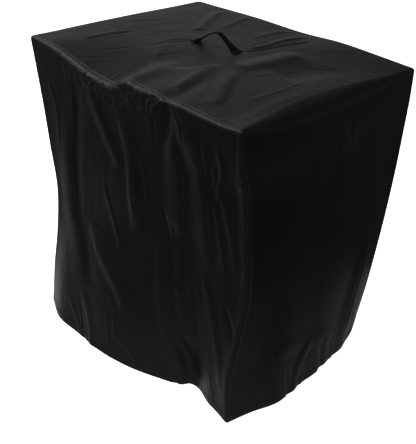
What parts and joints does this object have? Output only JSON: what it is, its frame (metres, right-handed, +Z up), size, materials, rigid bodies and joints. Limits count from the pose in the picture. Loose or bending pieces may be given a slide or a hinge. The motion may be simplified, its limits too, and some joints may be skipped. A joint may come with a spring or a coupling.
{
  "type": "pool pump cover",
  "caption": "Loose square cover in black coated cloth with a flat top, a webbing carrying loop and sides that hang in folds to an open hem.",
  "frame": {"origin": "Middle of the cover's footprint at the level of the hem, which is z = 0.", "axes": "+Z up, out of the top panel; +X along the 0.55 m front and back faces, towards the right face; +Y along the 0.50 m right and left faces, from the front face to the back face."},
  "size_m": [0.6218, 0.5565, 0.6511],
  "materials": {
    "coated_cloth": "black woven polyester with a soft semi-gloss waterproof coating",
    "webbing": "matt black woven webbing"
  },
  "bodies": {
    "root": {"top_panel": "coated_cloth", "side_panel_front": "coated_cloth", "side_panel_right": "coated_cloth", "side_panel_back": "coated_cloth", "side_panel_left": "coated_cloth", "handle": "webbing"}
  },
  "joints": []
}
